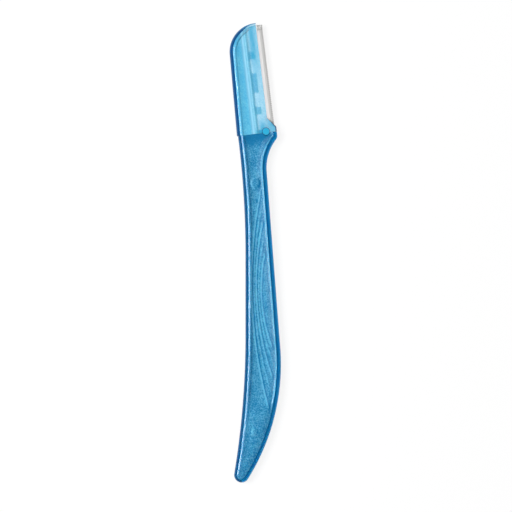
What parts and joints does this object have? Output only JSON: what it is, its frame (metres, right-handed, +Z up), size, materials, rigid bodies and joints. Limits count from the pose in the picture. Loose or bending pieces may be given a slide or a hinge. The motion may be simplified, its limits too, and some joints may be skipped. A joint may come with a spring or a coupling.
{
  "type": "eyebrow razor",
  "caption": "Slim translucent blue eyebrow razor with a guarded steel blade in a lighter removable head cover and a curved grooved handle.",
  "frame": {"origin": "centre of the razor's outline, on the flat back that it lies on", "axes": "+Y along the length, towards the head; +X towards the blade's edge; +Z up, out of the front face"},
  "size_m": [0.017, 0.152, 0.0042],
  "materials": {
    "handle_plastic": "glossy, translucent, with fine pearl flakes",
    "cover_plastic": "glossy, lighter translucent, with fine pearl flakes",
    "blade_steel": "fine brushed",
    "guard_steel": "satin"
  },
  "bodies": {
    "razor": {"handle": "handle_plastic", "blade": "blade_steel", "micro_guard": "guard_steel"},
    "cover": {"head_cover": "cover_plastic"}
  },
  "joints": [
    {"name": "cover_slide", "type": "slide", "parent": "razor", "child": "cover", "axis": [-0.1219, 0.9925, 0], "range_m": [0, 0.04]}
  ]
}
